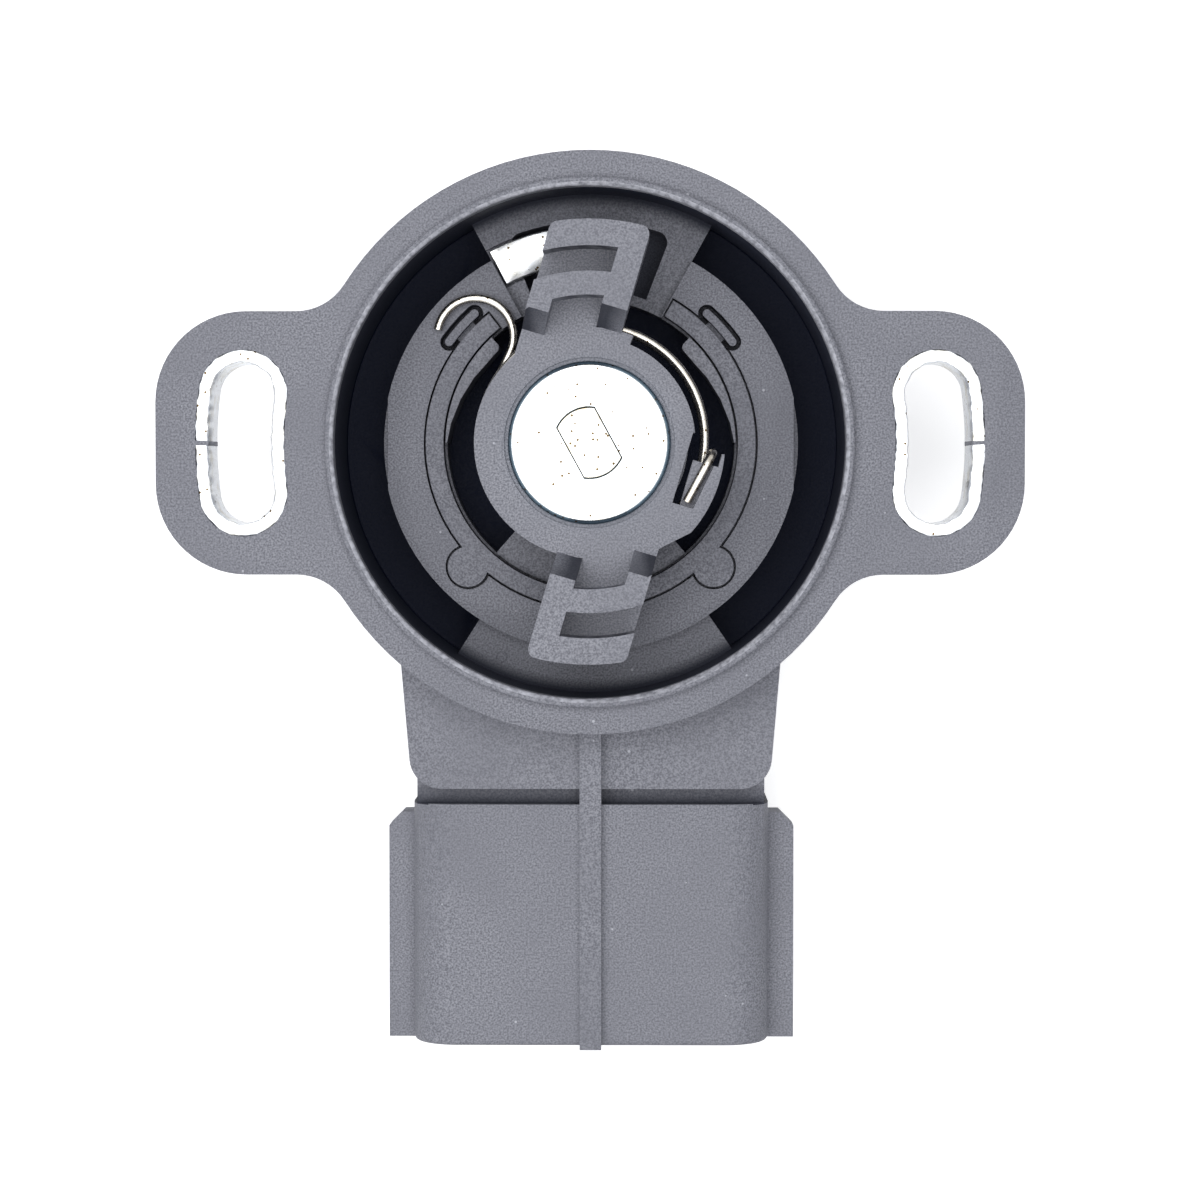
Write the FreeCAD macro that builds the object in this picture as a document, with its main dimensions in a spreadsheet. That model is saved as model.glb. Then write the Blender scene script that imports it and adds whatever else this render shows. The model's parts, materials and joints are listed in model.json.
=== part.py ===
import FreeCAD, Part
import math
import os
import re
import Sketcher
from FreeCAD import Placement, Rotation, Vector

# Throttle position sensor. The origin is on the rotor's axis, in the plane of the mounting face.
# +Z points out of that face, and the connector points along -Y. Lengths are millimetres, angles degrees.
# A size that ends in _depth is measured down from the mounting face, one that ends in _level up from it.

SIZES = {
    # round housing
    "barrel_radius": 22.5,
    "barrel_depth": 19.5,
    "barrel_rounding": 0.6,
    "lip_radius": 20.4,
    "lip_level": 1.0,
    "lip_rounding": 0.25,
    "cavity_radius": 19.7,
    "island_radius": 16.4,
    "island_depth": 6.0,
    "island_flat_cut": 0.4,
    "island_flat_height": 1.2,
    "well_radius": 11.4,
    "well_depth": 11.0,
    "boss_radius": 6.2,
    "boss_depth": 5.0,
    "partition_wall": 1.8,
    "chamber_radius": 17.4,
    # mounting ears and their slots
    "ear_rim": 3.05,
    "ear_half_width": 10.15,
    "ear_thickness": 6.0,
    "ear_corner_radius": 7.0,
    "ear_blend_radius": 4.4,
    "slot_circle_radius": 27.0,
    "slot_half_sweep": 8.0,
    "slot_width": 4.9,
    "bush_wall": 1.0,
    "bush_seam": 0.35,
    # shelves, ledges and recesses round the cavity
    "shelf_depth": 7.5,
    "shelf_from": 237.5,
    "shelf_to": 304.6,
    "block_depth": 7.0,
    "block_from": 61.0,
    "block_to": 118.5,
    "window_from": 69.0,
    "window_to": 112.0,
    "window_inner_radius": 12.2,
    "window_outer_radius": 17.6,
    "window_depth": 10.5,
    "window_corner_radius": 0.9,
    "ledge_depth": 5.0,
    "ledge_inner_radius": 10.3,
    "ledge_tip_radius": 0.45,
    "right_ledge_from": 0.5,
    "right_ledge_to": 47.0,
    "left_ledge_from": 133.0,
    "left_ledge_to": 179.5,
    "ledge_bore_radius": 11.46,
    "ledge_bore_offset": 1.71,
    "ledge_taper_from": 140.0,
    "ledge_taper_to": 182.0,
    "well_step_from": 229.0,
    "well_step_to": 311.0,
    "well_step_inner_radius": 8.1,
    "well_step_depth": 6.5,
    # spring retainer
    "retainer_inner_radius": 11.58,
    "retainer_outer_radius": 13.0,
    "retainer_from": 128.0,
    "retainer_to": 420.0,
    "retainer_thickness": 2.1,
    "retainer_proud": 0.5,
    "lobe_radius": 1.6,
    "lobe_circle_radius": 13.7,
    "lobe_angle": 45.0,
    "snap_angle": 42.0,
    "snap_half_sweep": 6.25,
    "snap_half_width": 0.34,
    "snap_drop": 0.5,
    "snap_web_half_sweep": 4.0,
    "snap_web_drop": 1.3,
    "catch_circle_radius": 13.75,
    "catch_half_width": 0.7,
    "catch_depth": 9.0,
    "seat_clearance": 0.18,
    "seat_margin": 0.6,
    # plated steel tab
    "tab_from": 100.0,
    "tab_to": 118.0,
    "tab_inner_radius": 14.2,
    "tab_outer_radius": 17.2,
    "tab_thickness": 1.0,
    "tab_proud": 0.4,
    # neck and connector shroud
    "neck_root_half_width": 15.4,
    "neck_end_half_width": 14.1,
    "neck_start": 12.0,
    "neck_end": 27.2,
    "neck_depth": 5.0,
    "neck_corner_radius": 2.5,
    "valley_depth": 6.2,
    "valley_step": 0.35,
    "valley_overlap": 3.2,
    "shroud_start": 28.4,
    "shroud_mouth": 47.5,
    "shroud_half_width": 14.1,
    "shroud_depth": 4.5,
    "shroud_rear_step": 1.0,
    "shroud_corner_radius": 3.5,
    "shroud_mouth_rounding": 0.4,
    "shroud_wall": 1.6,
    "socket_length": 15.0,
    "socket_corner_radius": 1.9,
    "key_reach": 16.2,
    "key_depth": 9.0,
    "key_thickness": 3.6,
    "key_start": 29.4,
    "key_end": 47.5,
    "key_chamfer": 1.1,
    "spine_width": 1.7,
    "spine_start": 21.5,
    "spine_end": 47.7,
    "spine_depth": 3.7,
    "latch_start": 34.0,
    "latch_peak": 38.0,
    "latch_end": 38.8,
    "latch_height": 0.9,
    "latch_half_width": 3.2,
    # terminals and track board
    "terminal_count": 4,
    "terminal_width": 2.3,
    "terminal_thickness": 0.64,
    "terminal_pitch": 4.6,
    "terminal_inner_end": 12.6,
    "terminal_bend": 23.5,
    "terminal_tip": 43.0,
    "terminal_tip_taper": 0.9,
    "terminal_tip_thickness": 0.3,
    "board_radius": 16.6,
    "board_thickness": 0.8,
    # rear cover
    "cover_radius": 19.0,
    "cover_thickness": 1.5,
    "cover_rounding": 0.4,
    "cover_groove_inner_radius": 13.2,
    "cover_groove_outer_radius": 14.6,
    "cover_groove_height": 0.5,
    "cover_seal_inner_radius": 17.9,
    "cover_seal_width": 0.6,
    "cover_seal_height": 0.6,
    # shaft and its bearing
    "shaft_radius": 3.0,
    "shaft_end_run": 0.3,
    "running_clearance": 0.05,
    "bush_radius": 4.4,
    "seal_radius": 4.9,
    "seal_height": 2.0,
    "tenon_radius": 2.75,
    "tenon_across_flats": 3.3,
    "tenon_angle": 45.0,
    "tenon_proud": 0.05,
    "washer_radius": 6.25,
    "washer_face_radius": 5.95,
    "washer_thickness": 1.6,
    "washer_proud": 0.4,
    "washer_relief": 0.3,
    "washer_relief_drop": 0.3,
    # rotor, in its own frame before it is turned to rest
    "rest_angle": -16.4,
    "travel": 100.0,
    "hub_radius": 8.85,
    "hub_relief_radius": 8.13,
    "hub_relief_from": 14.0,
    "hub_relief_to": 84.0,
    "hub_level": 1.5,
    "hub_thickness": 2.7,
    "skirt_radius": 7.6,
    "skirt_wall": 1.0,
    "skirt_depth": 8.5,
    "lug_level": 5.5,
    "lug_width": 7.4,
    "lug_radius": 16.8,
    "lug_wall": 2.0,
    "lug_right_leg": 1.75,
    "lug_bridge_inner_radius": 11.1,
    "lug_bridge_outer_radius": 12.9,
    "lug_rim_inner_radius": 14.8,
    "lug_ramp": 1.6,
    "drive_leg_start": 8.7,
    "back_leg_start": 6.9,
    "lug_corner_radius": 0.7,
    "horn_radius": 10.4,
    "horn_from": -25.0,
    "horn_to": 11.5,
    "horn_foot": 6.3,
    "notch_inner": 7.4,
    "notch_drop": 1.2,
    "notch_length": 2.6,
    "notch_end_width": 1.65,
    "notch_mouth_width": 2.6,
    "notch_mouth": 3.0,
    "notch_slit": 0.6,
    "notch_floor_end": 1.0,
    # wipers on the shaft's inner end
    "thrust_radius": 5.2,
    "thrust_thickness": 0.5,
    "end_play": 0.1,
    "carrier_radius": 6.8,
    "carrier_thickness": 1.7,
    "carrier_arm_radius": 14.4,
    "carrier_arm_angle": 60.0,
    "carrier_arm_half_sweep": 13.0,
    "clip_groove_radius": 2.4,
    "clip_radius": 4.6,
    "clip_thickness": 0.5,
    "clip_mouth_half_angle": 30.0,
    "wiper_thickness": 0.2,
    "wiper_width": 1.6,
    "signal_wiper_radius": 9.4,
    "idle_wiper_radius": 12.6,
    "wiper_pad_length": 2.2,
    "wiper_finger_length": 3.2,
    "wiper_gap": 0.1,
    "wiper_drop": 1.1,
    "stop_inner_radius": 10.0,
    "stop_sweep": 6.0,
    "stop_clearance_angle": 2.0,
    "stop_height": 2.0,
    # return spring
    "wire_radius": 0.35,
    "wire_clearance": 0.06,
    "coil_radius": 8.75,
    "coil_offset": 0.4,
    "coil_offset_angle": 65.0,
    "coil_gap": 0.25,
    "coil_start_angle": 155.3,
    "coil_end_angle": -12.0,
    "coil_added_turns": 3,
    "coil_end_run": 2.15,
    "leg_length": 2.9,
    "leg_lift": 0.15,
    "hook_run": 3.5,
    "hook_radius": 3.0,
    "hook_sweep": 195.0,
    "hook_fall": 0.25,
    # how far an added block reaches into what it joins, and a cut past what it opens
    "bite": 0.4,
}

doc = FreeCAD.newDocument("throttle_position_sensor")
sheet = doc.addObject("Spreadsheet::Sheet", "Sizes")
for row, (alias, size) in enumerate(SIZES.items(), start=1):
    sheet.set(f"A{row}", alias)
    sheet.set(f"B{row}", str(size))
    sheet.setAlias(f"B{row}", alias)
doc.recompute()


# Expressions

def bound(text):
    """The sheet expression for a text that names sizes by their alias."""
    return re.sub(r"[a-z][a-z_0-9]*", lambda word: f"Sizes.{word[0]}" if word[0] in SIZES else word[0], text)


def value(text):
    return float(sheet.evalExpression(bound(text)))


def bind(thing, prop, text):
    thing.setExpression(prop, bound(text))


# Sketches. Among their geometry, -1 is the horizontal axis, whose vertex 1 is the origin, and -2 the
# vertical axis. A vertex is 1 for an edge's start, 2 for its end and 3 for its centre.

def new_body(label):
    body = doc.addObject("PartDesign::Body", label)
    body.Label = label
    return body


def sketch_on(body, role, height="0"):
    """A sketch on one of the body's own planes, raised along that plane's normal."""
    sketch = body.newObject("Sketcher::SketchObject", f"{body.Label}_sketch")
    plane = next(item for item in body.Origin.OriginFeatures if item.Role == role)
    sketch.AttachmentSupport = [(plane, "")]
    sketch.MapMode = "FlatFace"
    bind(sketch, "AttachmentOffset.Base.z", height)
    return sketch


def dimension(sketch, kind, geometry, vertex, text):
    """One distance of a point from the sketch's origin, bound to the sheet."""
    index = sketch.addConstraint(Sketcher.Constraint(kind, -1, 1, geometry, vertex, value(text)))
    bind(sketch, f"Constraints[{index}]", text)


def fix_point(sketch, geometry, vertex, x, y):
    for text, kind, axis in ((x, "DistanceX", -2), (y, "DistanceY", -1)):
        if text.strip("-()") == "0":
            sketch.addConstraint(Sketcher.Constraint("PointOnObject", geometry, vertex, axis))
        else:
            dimension(sketch, kind, geometry, vertex, text)


def set_radius(sketch, geometry, text):
    index = sketch.addConstraint(Sketcher.Constraint("Radius", geometry, value(text)))
    bind(sketch, f"Constraints[{index}]", text)


def polygon(sketch, points):
    """A closed outline of straight edges through (x, y) pairs of expressions."""
    first = sketch.GeometryCount
    count = len(points)
    corners = [Vector(value(x), value(y), 0) for x, y in points]
    for index in range(count):
        sketch.addGeometry(Part.LineSegment(corners[index], corners[(index + 1) % count]), False)
    for index, (x, y) in enumerate(points):
        following = first + (index + 1) % count
        sketch.addConstraint(Sketcher.Constraint("Coincident", first + index, 2, following, 1))
        fix_point(sketch, first + index, 1, x, y)


def rectangle(sketch, left, right, low, high):
    polygon(sketch, [(left, low), (right, low), (right, high), (left, high)])


def rounded_rectangle(sketch, left, right, low, high, radius):
    """A rectangle whose corners are quarter circles."""
    near_x, far_x = f"{left} + {radius}", f"{right} - {radius}"
    near_y, far_y = f"{low} + {radius}", f"{high} - {radius}"
    sides = [
        ((near_x, low), (far_x, low)),
        ((right, near_y), (right, far_y)),
        ((far_x, high), (near_x, high)),
        ((left, far_y), (left, near_y)),
    ]
    centres = [(far_x, near_y), (far_x, far_y), (near_x, far_y), (near_x, near_y)]
    first = sketch.GeometryCount
    for start, end in sides:
        ends = [Vector(value(x), value(y), 0) for x, y in (start, end)]
        sketch.addGeometry(Part.LineSegment(*ends), False)
    for index, (x, y) in enumerate(centres):
        whole = Part.Circle(Vector(value(x), value(y), 0), Vector(0, 0, 1), value(radius))
        turn = math.radians(90 * index - 90)
        arc = sketch.addGeometry(Part.ArcOfCircle(whole, turn, turn + math.pi / 2), False)
        sketch.addConstraint(Sketcher.Constraint("Coincident", first + index, 2, arc, 1))
        sketch.addConstraint(Sketcher.Constraint("Coincident", arc, 2, first + (index + 1) % 4, 1))
        set_radius(sketch, arc, radius)
    for index, ends in enumerate(sides):
        for vertex, (x, y) in enumerate(ends, start=1):
            fix_point(sketch, first + index, vertex, x, y)


def circle(sketch, x, y, radius):
    shape = Part.Circle(Vector(value(x), value(y), 0), Vector(0, 0, 1), value(radius))
    index = sketch.addGeometry(shape, False)
    set_radius(sketch, index, radius)
    if (x, y) == ("0", "0"):
        sketch.addConstraint(Sketcher.Constraint("Coincident", index, 3, -1, 1))
    else:
        fix_point(sketch, index, 3, x, y)


def ring(sketch, inner, outer):
    circle(sketch, "0", "0", inner)
    circle(sketch, "0", "0", outer)


def polar(radius, angle):
    """The x and y expressions of a point given by radius and angle."""
    return f"({radius}) * cos({angle})", f"({radius}) * sin({angle})"


def sector(sketch, inner, outer, start, end):
    """A closed part of a ring about the sketch's origin, from one angle round to a larger one."""
    sweep = [math.radians(value(angle)) for angle in (start, end)]
    arcs = []
    for radius in (inner, outer):
        whole = Part.Circle(Vector(0, 0, 0), Vector(0, 0, 1), value(radius))
        arcs.append(sketch.addGeometry(Part.ArcOfCircle(whole, *sweep), False))
        sketch.addConstraint(Sketcher.Constraint("Coincident", arcs[-1], 3, -1, 1))
        set_radius(sketch, arcs[-1], radius)
    for vertex, angle in ((1, start), (2, end)):
        ends = [Vector(*map(value, polar(radius, angle)), 0) for radius in (inner, outer)]
        line = sketch.addGeometry(Part.LineSegment(*ends), False)
        across = abs(math.cos(math.radians(value(angle)))) < math.sqrt(0.5)
        for side, (arc, radius) in enumerate(zip(arcs, (inner, outer)), start=1):
            sketch.addConstraint(Sketcher.Constraint("Coincident", arc, vertex, line, side))
            x, y = polar(radius, angle)
            if across:
                dimension(sketch, "DistanceX", arc, vertex, x)
            else:
                dimension(sketch, "DistanceY", arc, vertex, y)


# Features

def extrude(kind, sketch, length, midplane=False, back=False):
    body = sketch.getParentGeoFeatureGroup()
    feature = body.newObject(f"PartDesign::{kind}", f"{body.Label}_{kind.lower()}")
    feature.Profile = sketch
    feature.Midplane = midplane
    feature.Reversed = back
    bind(feature, "Length", length)
    return feature


def pad(body, low, high, draw, *sizes):
    """Material between two heights, with an outline drawn on the horizontal plane."""
    sketch = sketch_on(body, "XY_Plane", low)
    draw(sketch, *sizes)
    return extrude("Pad", sketch, f"({high}) - ({low})")


def pocket(body, low, high, draw, *sizes):
    """A hollow between two heights, with an outline drawn on the horizontal plane."""
    sketch = sketch_on(body, "XY_Plane", high)
    draw(sketch, *sizes)
    return extrude("Pocket", sketch, f"({high}) - ({low})")


def revolve(kind, body, points):
    """A full turn of an outline of (radius, height) pairs about the rotor's axis."""
    sketch = sketch_on(body, "XZ_Plane")
    polygon(sketch, points)
    feature = body.newObject(f"PartDesign::{kind}", f"{body.Label}_{kind.lower()}")
    feature.Profile = sketch
    feature.ReferenceAxis = (sketch, ["V_Axis"])
    feature.Angle = 360
    return feature


def fillet(body, size, chosen):
    """A fillet on the edges of the body that the test picks out."""
    doc.recompute()
    base = body.Tip
    names = [f"Edge{number}" for number, edge in enumerate(base.Shape.Edges, start=1) if chosen(edge)]
    feature = body.newObject("PartDesign::Fillet", f"{body.Label}_fillet")
    feature.Base = (base, names)
    bind(feature, "Radius", size)
    return feature


def near(first, second):
    return abs(first - second) < 1e-4


def upright(edge):
    """Whether an edge is straight and runs along the rotor's axis."""
    ends = [vertex.Point for vertex in edge.Vertexes]
    return len(ends) == 2 and near(ends[0].x, ends[1].x) and near(ends[0].y, ends[1].y)


# Part primitives

def cylinder(label, radius, low, high):
    shape = doc.addObject("Part::Cylinder", label)
    bind(shape, "Radius", radius)
    bind(shape, "Height", f"({high}) - ({low})")
    bind(shape, "Placement.Base.z", low)
    return shape


def boolean(kind, label, base, tool):
    shape = doc.addObject(f"Part::{kind}", label)
    shape.Base = base
    shape.Tool = tool
    shape.Label = label
    return shape


def tube(label, inner, outer, low, high):
    whole = cylinder(f"{label}_outside", outer, low, high)
    bore = cylinder(f"{label}_bore", inner, low, high)
    return boolean("Cut", label, whole, bore)


# Heights, reaches and angles that several features share
rear = "-barrel_depth"
cover_seat = f"{rear} + cover_thickness"
board_face = f"{cover_seat} + board_thickness"
carrier_low = f"{board_face} + wiper_drop"
clip_low = f"{carrier_low} - clip_thickness"
thrust_low = f"{carrier_low} + carrier_thickness"
thrust_top = f"{thrust_low} + thrust_thickness"
partition_low = f"{thrust_top} + end_play"
groove_floor = f"{partition_low} + partition_wall"
hub_low = "hub_level - hub_thickness"
washer_seat = "hub_level + washer_proud - washer_thickness"
seal_low = "-boss_depth - seal_height"
island = "-island_depth"
retainer_top = "-island_depth + retainer_proud"
retainer_low = "-island_depth + retainer_proud - retainer_thickness"
snap_angles = ("snap_angle", "180 - snap_angle")
tab_top = "-block_depth + tab_proud"
tab_low = "-block_depth + tab_proud - tab_thickness"
ear_reach = "slot_circle_radius + slot_width / 2 + bush_wall + ear_rim"
shroud_top = "-shroud_depth"
shroud_low = f"{rear} + shroud_rear_step"
blade_middle = f"({shroud_low} - shroud_depth) / 2"
above = "lip_level + bite"
below = f"{rear} - bite"


def slot_sides(sketch, middle, angle, half_sweep, half_width):
    inner, outer = f"{middle} - ({half_width})", f"{middle} + ({half_width})"
    sector(sketch, inner, outer, f"{angle} - {half_sweep}", f"{angle} + {half_sweep}")


def slot_ends(sketch, middle, angle, half_sweep, half_width):
    for turn in ("-", "+"):
        x, y = polar(middle, f"{angle} {turn} {half_sweep}")
        circle(sketch, x, y, half_width)


def arc_slot(feature, body, low, high, *slot):
    """Adds or cuts a slot that follows an arc about the rotor's axis and has round ends."""
    feature(body, low, high, slot_sides, *slot)
    feature(body, low, high, slot_ends, *slot)


def ear_slot(feature, body, side, half_width):
    arc_slot(feature, body, "-ear_thickness", "0", "slot_circle_radius", side, "slot_half_sweep", half_width)


def slot_bush(label, side):
    """A sleeve rolled from strip to line an ear's slot, with an open seam on its outer side."""
    body = new_body(label)
    ear_slot(pad, body, side, "slot_width / 2 + bush_wall")
    ear_slot(pocket, body, side, "slot_width / 2")
    seam_half = "bush_seam / (2 * slot_circle_radius) * 180 / pi"
    seam = sketch_on(body, "XY_Plane", "0")
    sector(
        seam,
        "slot_circle_radius",
        "slot_circle_radius + slot_width / 2 + bush_wall + bite",
        f"{side} - {seam_half}",
        f"{side} + {seam_half}",
    )
    extrude("Pocket", seam, "ear_thickness")
    return body


def housing_outside(body):
    pad(body, rear, "0", circle, "0", "0", "barrel_radius")

    def rear_edge(edge):
        return all(near(vertex.Z, value(rear)) for vertex in edge.Vertexes)

    fillet(body, "barrel_rounding", rear_edge)
    sides = (f"-({ear_reach})", ear_reach, "-ear_half_width", "ear_half_width")
    pad(body, "-ear_thickness", "0", rounded_rectangle, *sides, "ear_corner_radius")
    barrel = value("barrel_radius")
    half_width = value("ear_half_width")

    def ear_root(edge):
        point = edge.Vertexes[0].Point
        on_barrel = near(math.hypot(point.x, point.y), barrel)
        return upright(edge) and on_barrel and near(abs(point.y), half_width)

    fillet(body, "ear_blend_radius", ear_root)


def neck_and_shroud(body):
    # tapered neck, with a lower valley between it and the shroud
    neck = [
        ("-neck_root_half_width", "-neck_start"),
        ("-neck_end_half_width", "-neck_end"),
        ("neck_end_half_width", "-neck_end"),
        ("neck_root_half_width", "-neck_start"),
    ]
    pad(body, shroud_low, "-neck_depth", polygon, neck)

    def neck_corner(edge):
        point = edge.Vertexes[0].Point
        return upright(edge) and near(point.y, -value("neck_end"))

    fillet(body, "neck_corner_radius", neck_corner)
    half = "(neck_end_half_width - valley_step)"
    valley = (f"-{half}", half, "-shroud_start - bite", "-neck_end + valley_overlap")
    pad(body, shroud_low, "-valley_depth", rectangle, *valley)

    shroud = sketch_on(body, "XZ_Plane", "shroud_start")
    sides = ("-shroud_half_width", "shroud_half_width", shroud_low, shroud_top)
    rounded_rectangle(shroud, *sides, "shroud_corner_radius")
    extrude("Pad", shroud, "shroud_mouth - shroud_start")

    def mouth_edge(edge):
        return all(near(vertex.Y, -value("shroud_mouth")) for vertex in edge.Vertexes)

    fillet(body, "shroud_mouth_rounding", mouth_edge)

    # side keys, and the spine down the middle of the top
    for sign in ("", "-"):
        key = [
            (f"{sign}(shroud_half_width - shroud_wall / 2)", "-key_start"),
            (f"{sign}(key_reach - key_chamfer)", "-key_start"),
            (f"{sign}key_reach", "-key_start - key_chamfer"),
            (f"{sign}key_reach", "-key_end"),
            (f"{sign}(shroud_half_width - shroud_wall / 2)", "-key_end"),
        ]
        pad(body, "-key_depth - key_thickness", "-key_depth", polygon, key)
    spine = ("-spine_width / 2", "spine_width / 2", "-spine_end", "-spine_start")
    pad(body, "-shroud_depth - shroud_wall / 2", "-spine_depth", rectangle, *spine)

    # latch ramp on the hidden wide face
    latch = sketch_on(body, "YZ_Plane")
    low = f"{shroud_low} - latch_height"
    inside = f"{shroud_low} + shroud_wall / 2"
    polygon(
        latch,
        [
            ("-latch_start", shroud_low),
            ("-latch_peak", low),
            ("-latch_end", low),
            ("-latch_end", inside),
            ("-latch_start", inside),
        ],
    )
    extrude("Pad", latch, "latch_half_width * 2", midplane=True)

    # socket, open at the mouth
    socket = sketch_on(body, "XZ_Plane", "shroud_mouth")
    half = "(shroud_half_width - shroud_wall)"
    sides = (f"-{half}", half, f"{shroud_low} + shroud_wall", f"{shroud_top} - shroud_wall")
    rounded_rectangle(socket, *sides, "socket_corner_radius")
    extrude("Pocket", socket, "socket_length")


def housing_inside(body):
    revolve(
        "Revolution",
        body,
        [
            ("cavity_radius - bite", "-bite"),
            ("lip_radius", "-bite"),
            ("lip_radius", "lip_level"),
            ("cavity_radius - bite", "lip_level"),
        ],
    )
    # the stepped cavity, the bearing's bore and the rear chamber, in one turned outline
    revolve(
        "Groove",
        body,
        [
            ("0", above),
            ("cavity_radius", above),
            ("cavity_radius", groove_floor),
            ("island_radius", groove_floor),
            ("island_radius", island),
            ("well_radius", island),
            ("well_radius", "-well_depth"),
            ("boss_radius", "-well_depth"),
            ("boss_radius", "-boss_depth"),
            ("seal_radius", "-boss_depth"),
            ("seal_radius", seal_low),
            ("bush_radius", seal_low),
            ("bush_radius", partition_low),
            ("chamber_radius", partition_low),
            ("chamber_radius", cover_seat),
            ("cover_seal_inner_radius", cover_seat),
            ("cover_seal_inner_radius", f"{cover_seat} + cover_seal_height"),
            ("cover_seal_inner_radius + cover_seal_width", f"{cover_seat} + cover_seal_height"),
            ("cover_seal_inner_radius + cover_seal_width", cover_seat),
            ("cover_radius", cover_seat),
            ("cover_radius", below),
            ("0", below),
        ],
    )

    def lip_edge(edge):
        return all(near(vertex.Z, value("lip_level")) for vertex in edge.Vertexes)

    fillet(body, "lip_rounding", lip_edge)

    # shelf that closes the groove at the bottom, and block that closes it at the top
    groove = ("island_radius - bite", "cavity_radius + bite")
    pad(body, f"{groove_floor} - bite", "-shelf_depth", sector, *groove, "shelf_from", "shelf_to")
    pad(body, f"{groove_floor} - bite", "-block_depth", sector, *groove, "block_from", "block_to")
    over_block = ("well_radius - bite", "cavity_radius", "block_from", "block_to")
    pocket(body, "-block_depth", "0", sector, *over_block)
    pocket(
        body,
        "-window_depth",
        "-block_depth + bite",
        sector,
        "window_inner_radius",
        "window_outer_radius",
        "window_from",
        "window_to",
    )

    def window_corner(edge):
        point = edge.Vertexes[0].Point
        return upright(edge) and near(math.hypot(point.x, point.y), value("window_outer_radius"))

    fillet(body, "window_corner_radius", window_corner)
    pocket(
        body,
        tab_low,
        "-block_depth + bite",
        sector,
        "tab_inner_radius - seat_clearance",
        "tab_outer_radius + seat_clearance",
        "tab_from",
        "block_to + seat_margin",
    )

    # flats at the island's left and right
    flat = "(island_radius - island_flat_cut)"
    chord = f"(sqrt(island_radius ^ 2 - {flat} ^ 2) + bite)"
    for sign in ("", "-"):
        sides = (f"{sign}{flat}", f"{sign}(island_radius + bite)", f"-{chord}", chord)
        pocket(body, "-island_depth - island_flat_height", "0", rectangle, *sides)

    # ledges that keep the coil in its place
    for start, end in (("right_ledge_from", "right_ledge_to"), ("left_ledge_from", "left_ledge_to")):
        ledge = ("ledge_inner_radius", "well_radius + bite")
        pad(body, "-well_depth - bite", f"{retainer_low} - bite", sector, *ledge, start, end)
        stand = ("ledge_inner_radius", "well_radius")
        pad(body, "-well_depth - bite", "-ledge_depth", sector, *stand, start, end)

    def ledge_tip(edge):
        point = edge.Vertexes[0].Point
        inside = near(math.hypot(point.x, point.y), value("ledge_inner_radius"))
        return upright(edge) and inside and point.y > value("boss_radius")

    fillet(body, "ledge_tip_radius", ledge_tip)

    # both run out into the well's wall, along a bore set off from the axis
    sweep = "(ledge_taper_to - ledge_taper_from)"
    angles = [f"(ledge_taper_from + {sweep} * {share})" for share in (0, 0.25, 0.5, 0.75, 1)]
    for mirror in ("", "180 - "):
        taper = []
        for angle in angles:
            across = f"sqrt(ledge_bore_radius ^ 2 - (ledge_bore_offset * cos({angle})) ^ 2)"
            taper.append(polar(f"{across} - ledge_bore_offset * sin({angle})", f"{mirror}{angle}"))
        inside = [polar("ledge_inner_radius - bite", f"{mirror}{angle}") for angle in (angles[-1], angles[0])]
        pocket(body, "-well_depth", "-ledge_depth", polygon, taper + inside)

    # raised step in the well's floor, under the coil
    step = ("well_step_inner_radius", "well_radius + bite", "well_step_from", "well_step_to")
    pad(body, "-well_depth - bite", "-well_step_depth", sector, *step)


def retainer_seat(body):
    seat = ("well_radius", "retainer_outer_radius + seat_clearance")
    sweep = ("retainer_from - seat_margin", "retainer_to + seat_margin")
    pocket(body, retainer_low, "0", sector, *seat, *sweep)
    pocket(body, retainer_low, "0", lobes, "lobe_radius + seat_clearance")
    for angle in snap_angles:
        catch = ("catch_circle_radius", angle, "snap_half_sweep", "catch_half_width")
        arc_slot(pocket, body, "-catch_depth", "0", *catch)


def lobes(sketch, radius):
    for angle in ("-lobe_angle", "180 + lobe_angle"):
        x, y = polar("lobe_circle_radius", angle)
        circle(sketch, x, y, radius)


def spring_retainer():
    body = new_body("spring_retainer")
    pad(
        body,
        retainer_low,
        retainer_top,
        sector,
        "retainer_inner_radius",
        "retainer_outer_radius",
        "retainer_from",
        "retainer_to",
    )
    pad(body, retainer_low, retainer_top, lobes, "lobe_radius")
    for angle in snap_angles:
        web = ("retainer_outer_radius - bite", "catch_circle_radius")
        sweep = (f"{angle} - snap_web_half_sweep", f"{angle} + snap_web_half_sweep")
        pad(body, retainer_low, f"{retainer_top} - snap_web_drop", sector, *web, *sweep)
        snap = ("catch_circle_radius", angle, "snap_half_sweep", "snap_half_width")
        arc_slot(pad, body, retainer_low, f"{retainer_top} - snap_drop", *snap)
    return body


def turned(body, angle):
    """Turns a finished body about the rotor's axis."""
    bind(body, "Placement", f"placement(vector(0; 0; 0); rotation(vector(0; 0; 1); {angle}))")
    return body


def both_lugs(sketch, left, right, start, end):
    """A rectangle on each arm of the rotor: the second is the first turned half round."""
    for sign in ("", "-"):
        low, high = f"{sign}(-({end}))", f"{sign}(-({start}))"
        rectangle(sketch, f"{sign}({left})", f"{sign}({right})", low, high)


def leg(body, offset, width, start, end):
    """An upright leg on each lug, with a ramp that climbs from the hub's face to the lug's top."""
    for sign, back in (("", False), ("-", True)):
        side = sketch_on(body, "YZ_Plane", f"{sign}({offset})")
        toe, heel = f"{sign}(-({start}))", f"{sign}(-({start} + lug_ramp))"
        far = f"{sign}(-({end}))"
        foot = [(far, hub_low), (toe, hub_low)]
        polygon(side, [*foot, (toe, "hub_level"), (heel, "lug_level"), (far, "lug_level")])
        extrude("Pad", side, width, back=back)


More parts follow.
